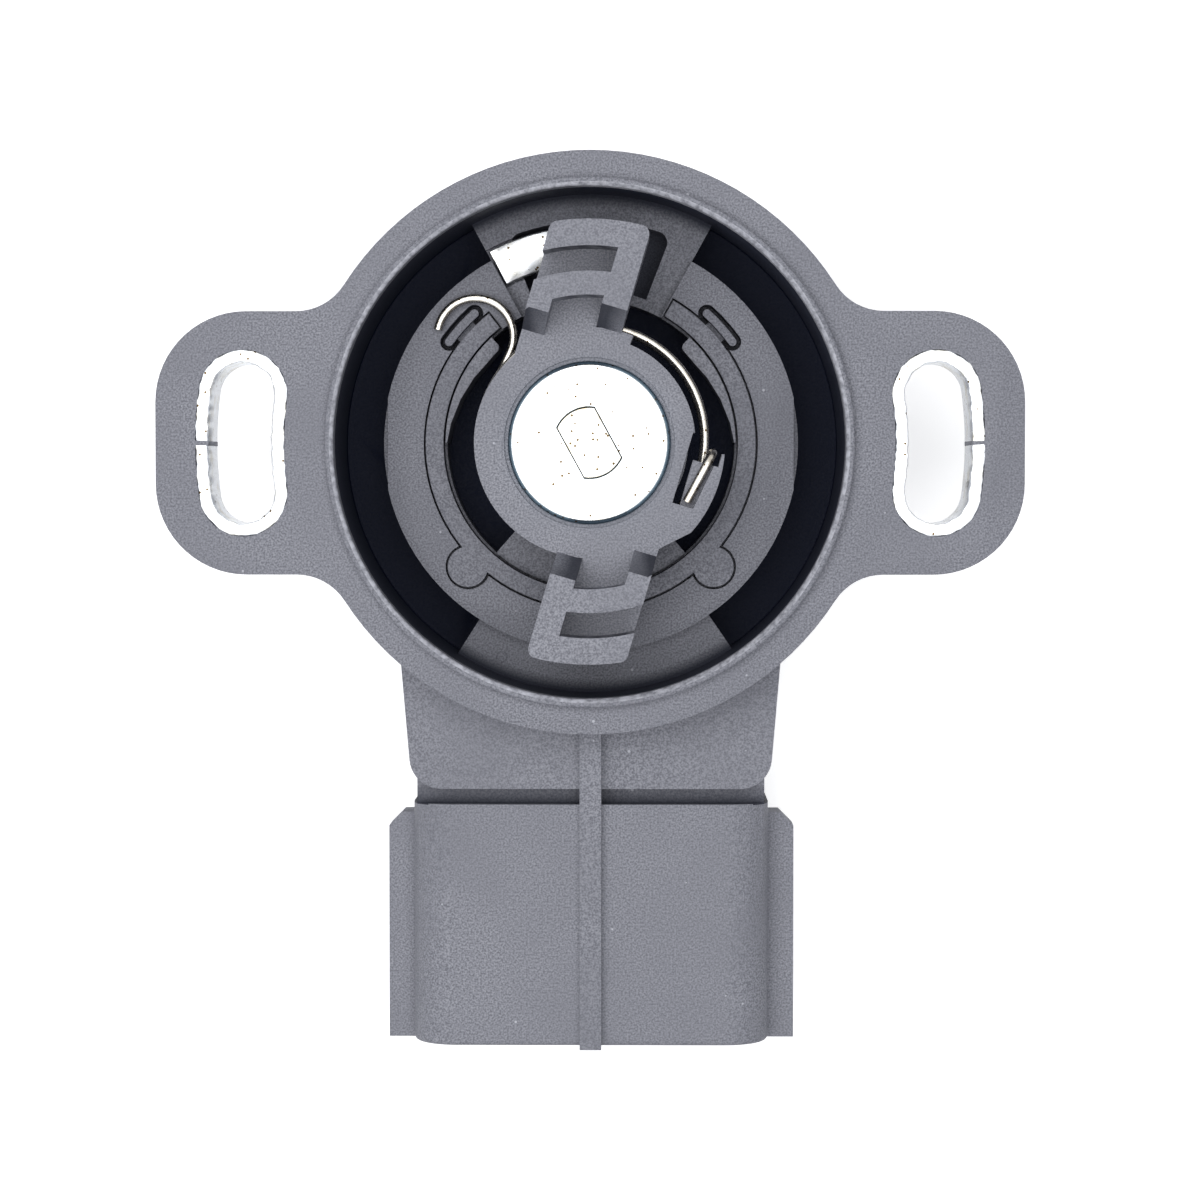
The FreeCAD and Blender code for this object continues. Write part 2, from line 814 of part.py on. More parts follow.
def rotor():
    body = new_body("rotor")
    pad(body, hub_low, "hub_level", circle, "0", "0", "hub_radius")
    relief = ("hub_relief_radius", "hub_radius + bite", "hub_relief_from", "hub_relief_to")
    pocket(body, hub_low, "hub_level", sector, *relief)

    # horn that carries the spring's end, with a straight foot to the arm
    pad(body, hub_low, "hub_level", sector, "skirt_radius", "horn_radius", "horn_from", "horn_to")
    foot = [
        polar("horn_radius", "horn_from"),
        ("lug_width", "-horn_foot"),
        ("lug_width / 2", "-horn_foot"),
        ("lug_width / 2", "0"),
    ]
    pad(body, hub_low, "hub_level", polygon, foot)

    # cored lugs: the blocks are trimmed by turned cuts, then closed by the legs
    past = "lug_radius + bite"
    pad(body, hub_low, "lug_level", both_lugs, "lug_wall", "lug_width", "skirt_radius / 2", past)
    top = "lug_level + bite"
    cores = [("0", "lug_bridge_inner_radius"), ("lug_bridge_outer_radius", "lug_rim_inner_radius")]
    for inner, outer in cores:
        revolve("Groove", body, [(inner, "hub_level"), (outer, "hub_level"), (outer, top), (inner, top)])
    leg(body, "0", "lug_wall", "drive_leg_start", past)
    into_bridge = "sqrt(lug_bridge_outer_radius ^ 2 - lug_width ^ 2) - bite"
    leg(body, "lug_width - lug_right_leg", "lug_right_leg", "back_leg_start", into_bridge)
    bottom = f"{hub_low} - bite"
    corner = f"sqrt(lug_width ^ 2 + ({past}) ^ 2) + bite"
    revolve("Groove", body, [("lug_radius", bottom), (corner, bottom), (corner, top), ("lug_radius", top)])

    # skirt that the coil turns round, seat of the washer, bore and spring notch
    pad(body, "-skirt_depth", f"{hub_low} + bite", ring, "skirt_radius - skirt_wall", "skirt_radius")
    pocket(body, washer_seat, "hub_level", circle, "0", "0", "washer_radius")
    relief_low = "hub_level - washer_relief_drop"
    pocket(body, relief_low, "hub_level", circle, "0", "0", "washer_radius + washer_relief")
    pocket(body, hub_low, "hub_level", circle, "0", "0", "shaft_radius")
    notch = [
        ("notch_inner", "notch_mouth"),
        ("notch_inner", "-notch_length"),
        ("notch_inner + notch_end_width", "-notch_length"),
        ("notch_inner + notch_mouth_width", "notch_mouth"),
    ]
    pocket(body, "hub_level - notch_drop", "hub_level", polygon, notch)
    # beside the wire and past the notch's floor it is open right through the horn
    through = [
        ("notch_inner", "notch_mouth"),
        ("notch_inner", "-notch_length"),
        ("notch_inner + notch_slit", "-notch_length"),
        ("notch_inner + notch_slit", "notch_floor_end"),
        ("notch_inner + notch_mouth_width", "notch_floor_end"),
        ("notch_inner + notch_mouth_width", "notch_mouth"),
    ]
    pocket(body, hub_low, "hub_level", polygon, through)

    def outer_corner(edge):
        point = edge.Vertexes[0].Point
        return upright(edge) and near(math.hypot(point.x, point.y), value("lug_radius"))

    fillet(body, "lug_corner_radius", outer_corner)
    return turned(body, "rest_angle")


def rotor_shaft():
    body = new_body("rotor_shaft")
    tenon_top = "hub_level + washer_proud + tenon_proud"
    pad(body, f"{clip_low} - shaft_end_run", washer_seat, circle, "0", "0", "shaft_radius")
    pad(body, washer_seat, tenon_top, circle, "0", "0", "tenon_radius")
    for sign in ("", "-"):
        flat = (f"{sign}tenon_across_flats / 2", f"{sign}(tenon_radius + bite)")
        pocket(body, washer_seat, tenon_top, rectangle, *flat, "-tenon_radius", "tenon_radius")
    pocket(body, clip_low, carrier_low, ring, "clip_groove_radius", "shaft_radius + bite")
    return turned(body, "tenon_angle + rest_angle")


def hub_washer(shaft):
    disc = new_body("washer_disc")
    top = "hub_level + washer_proud"
    revolve(
        "Revolution",
        disc,
        [
            ("0", washer_seat),
            ("washer_radius", washer_seat),
            ("washer_radius", "hub_level"),
            ("washer_face_radius", top),
            ("0", top),
        ],
    )
    return boolean("Cut", "hub_washer", disc, shaft)


def terminal(number):
    """A blade for the plug, bent down to the board inside the housing."""
    body = new_body(f"terminal_{number}")
    side = sketch_on(body, "YZ_Plane", f"({number} - (terminal_count + 1) / 2) * terminal_pitch")
    low, high = board_face, f"{blade_middle} - terminal_thickness / 2"
    taper = "-(terminal_tip - terminal_tip_taper)"
    polygon(
        side,
        [
            ("-terminal_inner_end", low),
            ("-(terminal_bend + terminal_thickness)", low),
            ("-(terminal_bend + terminal_thickness)", high),
            (taper, high),
            ("-terminal_tip", f"{blade_middle} - terminal_tip_thickness / 2"),
            ("-terminal_tip", f"{blade_middle} + terminal_tip_thickness / 2"),
            (taper, f"{high} + terminal_thickness"),
            ("-terminal_bend", f"{high} + terminal_thickness"),
            ("-terminal_bend", f"{low} + terminal_thickness"),
            ("-terminal_inner_end", f"{low} + terminal_thickness"),
        ],
    )
    extrude("Pad", side, "terminal_width", midplane=True)
    return body


def steel_tab():
    body = new_body("steel_tab")
    pad(body, tab_low, tab_top, sector, "tab_inner_radius", "tab_outer_radius", "tab_from", "tab_to")
    return body


def rear_cover():
    body = new_body("rear_cover")
    revolve(
        "Revolution",
        body,
        [
            ("0", rear),
            ("cover_groove_inner_radius", rear),
            ("cover_groove_inner_radius", f"{rear} + cover_groove_height"),
            ("cover_groove_outer_radius", f"{rear} + cover_groove_height"),
            ("cover_groove_outer_radius", rear),
            ("cover_radius - cover_rounding", rear),
            ("cover_radius", f"{rear} + cover_rounding"),
            ("cover_radius", cover_seat),
            ("0", cover_seat),
        ],
    )
    return body


def wiper_carrier():
    body = new_body("wiper_carrier")
    pad(body, carrier_low, thrust_low, circle, "0", "0", "carrier_radius")
    sweep = ("-carrier_arm_half_sweep", "carrier_arm_half_sweep")
    pad(body, carrier_low, thrust_low, sector, "carrier_radius - bite", "carrier_arm_radius", *sweep)
    pocket(body, carrier_low, thrust_low, circle, "0", "0", "shaft_radius")
    return turned(body, "carrier_arm_angle")


def wiper(label, radius):
    """A strip under the carrier's arm, with its finger sprung down to the board."""
    body = new_body(label)
    side = sketch_on(body, "YZ_Plane", radius)
    tip = f"{board_face} + wiper_gap"
    reach = "wiper_pad_length / 2 + wiper_finger_length"
    polygon(
        side,
        [
            ("-wiper_pad_length / 2", carrier_low),
            ("wiper_pad_length / 2", carrier_low),
            (reach, f"{tip} + wiper_thickness"),
            (reach, tip),
            ("wiper_pad_length / 2", f"{carrier_low} - wiper_thickness"),
            ("-wiper_pad_length / 2", f"{carrier_low} - wiper_thickness"),
        ],
    )
    extrude("Pad", side, "wiper_width", midplane=True)
    return turned(body, "carrier_arm_angle")


def shaft_clip():
    body = new_body("shaft_clip")
    mouth = ("clip_mouth_half_angle", "360 - clip_mouth_half_angle")
    pad(body, clip_low, carrier_low, sector, "clip_groove_radius", "clip_radius", *mouth)
    return body


def stops(body):
    """Ribs in the rear chamber that the carrier's arm meets at each end of its travel."""
    rest = "carrier_arm_angle - carrier_arm_half_sweep - stop_clearance_angle"
    full = "carrier_arm_angle + carrier_arm_half_sweep + stop_clearance_angle + travel"
    for start, end in ((f"{rest} - stop_sweep", rest), (full, f"{full} + stop_sweep")):
        rib = ("stop_inner_radius", "chamber_radius + bite", start, end)
        pad(body, f"{partition_low} - stop_height", f"{partition_low} + bite", sector, *rib)


def return_spring():
    """One wire: a hook round the housing's catch, the coil, and a hook over the rotor's horn."""
    wire = value("wire_radius")
    up = Vector(0, 0, 1)
    centre = Vector(*map(value, polar("coil_offset", "coil_offset_angle")), 0)
    low = value(f"{island} + wire_clearance + wire_radius + hook_fall")
    high = value(f"{hub_low} - coil_gap - wire_radius")
    start = value("coil_start_angle")
    sweep = value("rest_angle + coil_end_angle - coil_start_angle + 360 * coil_added_turns")
    radius = value("coil_radius")
    pitch = (high - low) * 360 / sweep
    coil = Part.makeHelix(pitch, high - low, radius)
    coil.Placement = Placement(centre + up * low, Rotation(up, start))

    def on_coil(angle, height):
        out = Vector(math.cos(math.radians(angle)), math.sin(math.radians(angle)), 0)
        along = (up.cross(out) * radius + up * (pitch / (2 * math.pi))).normalize()
        return centre + out * radius + up * height, out, along

    # hook on the housing: a straight run off the coil, then a bend round the catch
    first, out, along = on_coil(start, low)
    run_end = first - along * value("hook_run")
    middle = run_end + out * value("hook_radius")
    axis = out.cross(along)
    arm = run_end - middle
    bends = [Rotation(axis, share * value("hook_sweep")).multVec(arm) for share in (0.5, 1)]
    hook = Part.Arc(middle + bends[1], middle + bends[0], run_end).toShape()

    # hook on the rotor: under the horn, up past its edge and back along the notch
    last, out, along = on_coil(start + sweep, high)
    bend = last + along * value("coil_end_run")
    rise = out.cross(along)
    leg_height = value("hub_level - notch_drop + wire_clearance + wire_radius + leg_lift")
    half_rise = (leg_height - bend.z) / 2
    top = bend + rise * half_rise * 2
    turn = Part.Arc(bend, bend + rise * half_rise + along * half_rise, top).toShape()
    edges = [
        hook,
        Part.LineSegment(run_end, first).toShape(),
        *coil.Edges,
        Part.LineSegment(last, bend).toShape(),
        turn,
        Part.LineSegment(top, top - along * value("leg_length")).toShape(),
    ]
    path = Part.Wire(edges)
    tip = path.Edges[0]
    begin = tip.valueAt(tip.FirstParameter)
    heading = tip.tangentAt(tip.FirstParameter)
    section = Part.Wire(Part.Circle(begin, heading, wire).toShape())
    spring = doc.addObject("Part::Feature", "return_spring")
    spring.Shape = path.makePipeShell([section], True, False)
    return spring


moulding = new_body("housing_moulding")
housing_outside(moulding)
neck_and_shroud(moulding)
housing_inside(moulding)
retainer_seat(moulding)
stops(moulding)
for side in ("0", "180"):
    ear_slot(pocket, moulding, side, "slot_width / 2")

inserts = [slot_bush("right_slot_bush", "0"), slot_bush("left_slot_bush", "180")]
inserts += [terminal(number) for number in range(1, SIZES["terminal_count"] + 1)]
moulded_in = doc.addObject("Part::Compound", "moulded_in")
moulded_in.Links = inserts
shaft = rotor_shaft()
running_bore = "shaft_radius + running_clearance"
pieces = [
    boolean("Cut", "housing", moulding, moulded_in),
    *inserts,
    spring_retainer(),
    steel_tab(),
    tube("shaft_bush", running_bore, "bush_radius", partition_low, seal_low),
    tube("shaft_seal", running_bore, "seal_radius", seal_low, "-boss_depth"),
    tube("track_board", "clip_radius", "board_radius", cover_seat, board_face),
    rear_cover(),
    tube(
        "cover_seal",
        "cover_seal_inner_radius",
        "cover_seal_inner_radius + cover_seal_width",
        cover_seat,
        f"{cover_seat} + cover_seal_height",
    ),
    rotor(),
    shaft,
    hub_washer(shaft),
    tube("thrust_washer", "shaft_radius", "thrust_radius", thrust_low, thrust_top),
    wiper_carrier(),
    wiper("signal_wiper", "signal_wiper_radius"),
    wiper("idle_wiper", "idle_wiper_radius"),
    shaft_clip(),
    return_spring(),
]

doc.recompute()
for item in doc.Objects:
    if "Invalid" in item.State or "Error" in item.State:
        raise RuntimeError(f"{item.Label} did not build: {item.State}")
for piece in pieces:
    if piece.Shape.isNull() or not piece.Shape.isValid() or not piece.Shape.Solids:
        raise RuntimeError(f"{piece.Label} is not a sound solid")
os.makedirs("parts", exist_ok=True)
for piece in pieces:
    piece.Shape.exportStep(f"parts/{piece.Label}.step")
    print(piece.Label, len(piece.Shape.Solids), round(piece.Shape.Volume, 2))
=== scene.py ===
import json
import math

import bmesh
import bpy
from mathutils import Matrix, Vector


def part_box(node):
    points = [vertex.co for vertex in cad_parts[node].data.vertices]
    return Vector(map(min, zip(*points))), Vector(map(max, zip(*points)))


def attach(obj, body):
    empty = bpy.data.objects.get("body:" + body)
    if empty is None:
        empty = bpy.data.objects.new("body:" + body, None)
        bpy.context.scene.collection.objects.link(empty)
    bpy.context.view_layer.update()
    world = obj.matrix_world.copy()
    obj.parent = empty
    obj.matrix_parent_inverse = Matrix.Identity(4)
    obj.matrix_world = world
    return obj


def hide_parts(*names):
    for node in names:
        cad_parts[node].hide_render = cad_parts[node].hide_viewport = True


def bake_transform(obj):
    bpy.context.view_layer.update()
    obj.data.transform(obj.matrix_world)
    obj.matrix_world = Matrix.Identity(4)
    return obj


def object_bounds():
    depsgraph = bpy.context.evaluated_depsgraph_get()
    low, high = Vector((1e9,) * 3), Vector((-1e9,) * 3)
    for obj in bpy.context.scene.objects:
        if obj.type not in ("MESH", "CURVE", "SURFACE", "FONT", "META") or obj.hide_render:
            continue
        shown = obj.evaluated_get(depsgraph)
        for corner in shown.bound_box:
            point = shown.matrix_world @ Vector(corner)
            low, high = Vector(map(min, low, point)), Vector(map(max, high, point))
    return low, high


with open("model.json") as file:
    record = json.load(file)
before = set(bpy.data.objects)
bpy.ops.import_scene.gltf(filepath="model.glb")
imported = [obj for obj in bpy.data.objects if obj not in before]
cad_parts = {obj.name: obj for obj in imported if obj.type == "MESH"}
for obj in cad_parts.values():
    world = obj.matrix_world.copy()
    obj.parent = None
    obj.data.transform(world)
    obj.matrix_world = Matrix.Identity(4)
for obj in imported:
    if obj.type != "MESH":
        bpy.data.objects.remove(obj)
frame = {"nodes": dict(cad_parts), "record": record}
cadBox = [list(corner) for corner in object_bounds()]
nodes = frame["nodes"]
slotOf = {item["node"]: item["material_slot"] for item in frame["record"]["subparts"]}
bodyOf = {node: body for body, members in frame["record"]["behaviour"]["bodies"].items() for node in members}
mm = 0.001
print("frame loaded:", len(nodes), "nodes")


# shader helpers

def linear(red, green, blue):
    channels = [channel / 255 for channel in (red, green, blue)]
    return [c / 12.92 if c <= 0.04045 else ((c + 0.055) / 1.055) ** 2.4 for c in channels] + [1]


def link(tree, given, socket):
    if isinstance(given, bpy.types.NodeSocket):
        tree.links.new(given, socket)
    else:
        socket.default_value = given


def addNode(tree, kind, sockets=None, **settings):
    node = tree.nodes.new(kind)
    for name, setting in settings.items():
        setattr(node, name, setting)
    for name, given in (sockets or {}).items():
        link(tree, given, node.inputs[name])
    return node


def startMaterial(name):
    material = bpy.data.materials.new(name)
    material.use_nodes = True
    tree = material.node_tree
    place = addNode(tree, "ShaderNodeTexCoord").outputs["Object"]
    return material, tree, tree.nodes["Principled BSDF"], place


def mixColour(tree, share, first, second):
    mix = addNode(tree, "ShaderNodeMix", data_type="RGBA")
    for number, given in ((0, share), (6, first), (7, second)):  # factor, A and B of the colour mix
        link(tree, given, mix.inputs[number])
    return mix.outputs[2]


def remap(tree, value, low, high, start=0.0, end=1.0):
    sockets = {"Value": value, "From Min": low, "From Max": high, "To Min": start, "To Max": end}
    return addNode(tree, "ShaderNodeMapRange", sockets, clamp=True).outputs["Result"]


def maths(tree, operation, first, second=0.0):
    return addNode(tree, "ShaderNodeMath", {0: first, 1: second}, operation=operation).outputs[0]


def product(tree, first, *others):
    for other in others:
        first = maths(tree, "MULTIPLY", first, other)
    return first


def largest(tree, first, *others):
    for other in others:
        first = maths(tree, "MAXIMUM", first, other)
    return first


def between(tree, value, low, high):
    return product(tree, maths(tree, "GREATER_THAN", value, low), maths(tree, "LESS_THAN", value, high))


def noise(tree, place, size, detail=2.0):
    sockets = {"Vector": place, "Scale": 1 / size, "Detail": detail}
    return addNode(tree, "ShaderNodeTexNoise", sockets).outputs["Fac"]


def specks(tree, place, spacing, radius, share):
    # small dots in the given share of the cells of a cell pattern
    cells = addNode(tree, "ShaderNodeTexVoronoi", {"Vector": place, "Scale": 1 / spacing})
    dots = maths(tree, "LESS_THAN", cells.outputs["Distance"], radius / spacing)
    draw = addNode(tree, "ShaderNodeSeparateColor", {"Color": cells.outputs["Color"]})
    return product(tree, dots, maths(tree, "LESS_THAN", draw.outputs["Red"], share))


def heightAndRadius(tree, place):
    split = addNode(tree, "ShaderNodeSeparateXYZ", {"Vector": place})
    flat = addNode(tree, "ShaderNodeCombineXYZ", {"X": split.outputs["X"], "Y": split.outputs["Y"]})
    length = addNode(tree, "ShaderNodeVectorMath", {0: flat.outputs[0]}, operation="LENGTH")
    return split.outputs["Z"], length.outputs["Value"]


def levelness(tree):
    # 1 on a level face, 0 on an upright one
    facing = addNode(tree, "ShaderNodeTexCoord").outputs["Normal"]
    return maths(tree, "ABSOLUTE", addNode(tree, "ShaderNodeSeparateXYZ", {"Vector": facing}).outputs["Z"])


# values of the grain's noise at which a surface is at its smoothest and its roughest
glossBand = (0.3, 0.7)


def roughen(tree, shader, grain, look):
    tree.links.new(remap(tree, grain, *glossBand, *look["roughness"]), shader.inputs["Roughness"])


def emboss(tree, shader, grain, look):
    sockets = {"Height": grain, "Strength": look["bump"], "Distance": look["bumpHeight"]}
    bump = addNode(tree, "ShaderNodeBump", sockets)
    tree.links.new(bump.outputs["Normal"], shader.inputs["Normal"])


# glass filled plastic: fine grain, faint clouding, a few pale specks of dust
housingPlastic = {
    "name": "greyGlassFilledPlastic",
    "tone": 136,
    "blueTint": 8,
    "grainSpread": 50,
    "grainSize": 0.15 * mm,
    "grainBand": (0.34, 0.66),
    "cloudSize": 9 * mm,
    "cloudBand": (0.35, 0.7),
    "cloudShare": 0.5,
    "cloudDrop": 9,
    "dustTone": 190,
    "dustSpacing": 1.5 * mm,
    "dustRadius": 0.11 * mm,
    "dustShare": 0.22,
    "roughness": (0.48, 0.66),
    "bump": 0.3,
    "bumpHeight": 0.05 * mm,
    "specular": 0.12,
    # painted shade in the cavity: light below the mouth, heavy in the groove and well, on its wall and steep
    # faces
    "paintedShadeColour": (2, 9, 30),
    "mouthShadeHeights": (-3.0 * mm, -6.0 * mm),
    "mouthShadeShare": 0.22,
    "deepHeights": (-7.6 * mm, -10.9 * mm),
    "cavityRadius": 19.9 * mm,
    "wallRadii": (18.3 * mm, 19.5 * mm),
    "wallBelow": -0.5 * mm,
    "wallShare": 0.92,
    "steepShare": 0.75,
    "steepSlopes": (0.42, 0.7),
    "steepBelow": -2.0 * mm,
    "uprightShare": 0.75,
    "uprightSlopes": (0.1, 0.26),
    # painted shade in the valley between neck and connector, heavier towards the connector
    "valleyShadeShares": (0.9, 0.25),
    "valleySides": (-28.5 * mm, -27.0 * mm),
    "valleyBelow": -5.3 * mm,
    # rubbed edge of the locating lip, lighter as wear and as a painted highlight
    "wornSheenTone": 196,
    "wornSheenAbove": 0.72 * mm,
    "wornSheenRadii": (19.42 * mm, 20.02 * mm),
    "wornSheenSize": 0.5 * mm,
    "wornSheenDetail": 3.0,
    "wornSheenBand": (0.38, 0.62),
    "wornSheenShares": (0.15, 0.85),
}
rotorPlastic = {
    **housingPlastic,
    "name": "greyRotorPlastic",
    "tone": 140,
    "steepShare": 0.8,
    "steepBelow": 10.0 * mm,  # above the lugs, so their steep ramps get painted shade
    "uprightShare": 0.12,
}
retainerPlastic = {**housingPlastic, "name": "greyRetainerPlastic", "tone": 132}
coverPlastic = {
    **housingPlastic,
    "name": "darkCoverPlastic",
    "tone": 84,
    "grainSpread": 16,
    "paintedShadeColour": (83, 84, 90),  # close to its own tone, so the back gets almost no painted shade
}


def greyOf(look, tone):
    return linear(tone - 1, tone, tone + look["blueTint"])


def grainyTone(tree, place, grain, look):
    half = look["grainSpread"] / 2
    grainShare = remap(tree, grain, *look["grainBand"])
    tone = mixColour(tree, grainShare, greyOf(look, look["tone"] - half), greyOf(look, look["tone"] + half))
    cloud = noise(tree, place, look["cloudSize"])
    cloud = remap(tree, cloud, *look["cloudBand"], 0.0, look["cloudShare"])
    tone = mixColour(tree, cloud, tone, greyOf(look, look["tone"] - look["cloudDrop"]))
    dust = specks(tree, place, look["dustSpacing"], look["dustRadius"], look["dustShare"])
    return mixColour(tree, dust, tone, greyOf(look, look["dustTone"]))


def cavityPaintedShade(tree, height, radius, look):
    # painted shade: darker with depth below the mouth, near the cavity's wall and on steep faces
    shallowShade = remap(tree, height, *look["mouthShadeHeights"], 0.0, look["mouthShadeShare"])
    deep = remap(tree, height, *look["deepHeights"])
    wall = remap(tree, radius, *look["wallRadii"], 0.0, look["wallShare"])
    wall = product(tree, wall, maths(tree, "LESS_THAN", height, look["wallBelow"]))
    level = levelness(tree)
    upright = remap(tree, level, *look["uprightSlopes"], look["uprightShare"], look["steepShare"])
    steep = remap(tree, level, *look["steepSlopes"], look["steepShare"], 0.0)
    steep = maths(tree, "MINIMUM", steep, upright)
    steep = product(tree, steep, maths(tree, "LESS_THAN", height, look["steepBelow"]))
    inside = maths(tree, "LESS_THAN", radius, look["cavityRadius"])
    return product(tree, inside, largest(tree, shallowShade, deep, wall, steep))


def valleyPaintedShade(tree, place, height, look):
    # painted shade along the valley's floor, heavier towards the connector
    along = addNode(tree, "ShaderNodeSeparateXYZ", {"Vector": place}).outputs["Y"]
    creaseShade = remap(tree, along, *look["valleySides"], *look["valleyShadeShares"])
    low = maths(tree, "LESS_THAN", height, look["valleyBelow"])
    return product(tree, creaseShade, low, between(tree, along, *look["valleySides"]))


def lipWearAndSheen(tree, place, height, radius, look):
    # the lip's top is lightened in patches: rubbed wear and a painted highlight
    patches = noise(tree, place, look["wornSheenSize"], look["wornSheenDetail"])
    patches = remap(tree, patches, *look["wornSheenBand"], *look["wornSheenShares"])
    high = maths(tree, "GREATER_THAN", height, look["wornSheenAbove"])
    return product(tree, patches, high, between(tree, radius, *look["wornSheenRadii"]))


def mouldedPlastic(look):
    material, tree, shader, place = startMaterial(look["name"])
    grain = noise(tree, place, look["grainSize"])
    height, radius = heightAndRadius(tree, place)
    tone = grainyTone(tree, place, grain, look)
    # painted shade in the cavity and the valley, mixed into the base colour
    paintedDarkening = largest(tree, cavityPaintedShade(tree, height, radius, look), valleyPaintedShade(tree, place, height, look))
    tone = mixColour(tree, paintedDarkening, tone, linear(*look["paintedShadeColour"]))
    # rubbed wear and a painted highlight lighten the lip's top
    wearAndSheen = lipWearAndSheen(tree, place, height, radius, look)
    tone = mixColour(tree, wearAndSheen, tone, greyOf(look, look["wornSheenTone"]))
    tree.links.new(tone, shader.inputs["Base Color"])
    roughen(tree, shader, grain, look)
    emboss(tree, shader, grain, look)
    shader.inputs["Specular IOR Level"].default_value = look["specular"]
    return material


# metals: tone and gloss vary over the surface, with pits and stains
platedSteel = {
    "name": "brightZincPlate",
    "colour": (232, 235, 239),
    "stain": (206, 202, 190),
    "patchSize": 1.6 * mm,
    "patchDetail": 4.0,
    "patchBand": (0.5, 0.75),
    "grainSize": 0.12 * mm,
    "grainDetail": 3.0,
    "pitColour": (92, 76, 52),
    "pitSpacing": 0.55 * mm,
    "pitRadius": 0.1 * mm,
    "pitShare": 0.4,
    "roughness": (0.26, 0.4),
    "bump": 0.12,
    "bumpHeight": 0.02 * mm,
    # painted reflection: a blue-grey cast on the hub washer's bevel
    "bevelReflectionTint": (122, 144, 158),
    "bevelInside": 6.6 * mm,
    "bevelSlopes": (0.72, 0.94),
}
shaftSteel = {
    **platedSteel,
    "name": "stakedShaftSteel",
    "colour": (228, 226, 219),
    "stain": (196, 180, 148),
    "pitShare": 0.6,
    "roughness": (0.3, 0.5),
    "bevelReflectionTint": None,
}
springWire = {
    **shaftSteel,
    "name": "drawnSpringWire",
    "colour": (214, 210, 202),
    "stain": (168, 158, 144),
    "patchSize": 0.7 * mm,
    "pitShare": 0.4,
    "roughness": (0.2, 0.34),
}
sinteredBronze = {
    **shaftSteel,
    "name": "sinteredBronze",
    "colour": (176, 138, 86),
    "stain": (128, 98, 60),
    "roughness": (0.4, 0.6),
}
tinnedBrass = {
    **shaftSteel,
    "name": "tinnedBrass",
    "colour": (222, 219, 208),
    "stain": (190, 182, 160),
    "roughness": (0.2, 0.36),
}


def metal(look):
    material, tree, shader, place = startMaterial(look["name"])
    grain = noise(tree, place, look["grainSize"], look["grainDetail"])
    stained = remap(tree, noise(tree, place, look["patchSize"], look["patchDetail"]), *look["patchBand"])
    tone = mixColour(tree, stained, linear(*look["colour"]), linear(*look["stain"]))
    # painted reflection of the surroundings, blue-grey on the washer's bevel
    if look["bevelReflectionTint"]:
        _, radius = heightAndRadius(tree, place)
        bevel = remap(tree, levelness(tree), *look["bevelSlopes"], 1.0, 0.0)
        bevel = product(tree, bevel, maths(tree, "LESS_THAN", radius, look["bevelInside"]))
        tone = mixColour(tree, bevel, tone, linear(*look["bevelReflectionTint"]))
    pits = specks(tree, place, look["pitSpacing"], look["pitRadius"], look["pitShare"])
    tone = mixColour(tree, pits, tone, linear(*look["pitColour"]))
    tree.links.new(tone, shader.inputs["Base Color"])
    roughen(tree, shader, grain, look)
    emboss(tree, shader, grain, look)
    shader.inputs["Metallic"].default_value = 1.0
    return material


sealRubber = {
    "name": "blackSealRubber",
    "dark": (28, 28, 29),
    "light": (42, 42, 43),
    "grainSize": 0.3 * mm,
    "grainDetail": 3.0,
    "roughness": (0.6, 0.8),
}
firedCeramic = {
    "name": "firedCeramic",
    "dark": (224, 220, 209),
    "light": (239, 236, 229),
    "grainSize": 0.2 * mm,
    "grainDetail": 3.0,
    "roughness": (0.38, 0.52),
}


def grainySurface(look):
    material, tree, shader, place = startMaterial(look["name"])
    grain = noise(tree, place, look["grainSize"], look["grainDetail"])
    tone = mixColour(tree, grain, linear(*look["dark"]), linear(*look["light"]))
    tree.links.new(tone, shader.inputs["Base Color"])
    roughen(tree, shader, grain, look)
    return material


materials = {
    "moulded_plastic": mouldedPlastic(housingPlastic),
    "rotor_plastic": mouldedPlastic(rotorPlastic),
    "retainer_plastic": mouldedPlastic(retainerPlastic),
    "cover_plastic": mouldedPlastic(coverPlastic),
    "plated_steel": metal(platedSteel),
    "shaft_steel": metal(shaftSteel),
    "spring_wire": metal(springWire),
    "sintered_bronze": metal(sinteredBronze),
    "tinned_brass": metal(tinnedBrass),
    "seal_rubber": grainySurface(sealRubber),
    "ceramic_board": grainySurface(firedCeramic),
}
for name, node in nodes.items():
    node.data.materials.clear()
    node.data.materials.append(materials[slotOf[name]])
print("materials made:", len(materials))


# pieces and node trees

def newPiece(name, mesh):
    piece = bpy.data.objects.new(name, mesh)
    bpy.context.scene.collection.objects.link(piece)
    return piece


def applyModifiers(piece):
    evaluated = piece.evaluated_get(bpy.context.evaluated_depsgraph_get())
    piece.data = bpy.data.meshes.new_from_object(evaluated)
    piece.modifiers.clear()


def startTree(name, inputs):
    tree = bpy.data.node_groups.new(name, "GeometryNodeTree")
    tree.interface.new_socket("Geometry", in_out="INPUT", socket_type="NodeSocketGeometry")
    for label, kind in inputs.items():
        tree.interface.new_socket(label, in_out="INPUT", socket_type=f"NodeSocket{kind}")
    tree.interface.new_socket("Geometry", in_out="OUTPUT", socket_type="NodeSocketGeometry")
    return tree, addNode(tree, "NodeGroupInput").outputs


def endTree(tree, geometry, material):
    real = addNode(tree, "GeometryNodeRealizeInstances", {"Geometry": geometry}).outputs[0]
    painted = addNode(tree, "GeometryNodeSetMaterial", {"Geometry": real, "Material": material}).outputs[0]
    addNode(tree, "NodeGroupOutput", {"Geometry": painted})


def growPiece(piece, tree, settings):
    modifier = piece.modifiers.new(tree.name, "NODES")
    modifier.node_group = tree
    for item in tree.interface.items_tree:
        if item.in_out == "INPUT" and item.name in settings:
            modifier[item.identifier] = settings[item.name]
    applyModifiers(piece)
    return piece


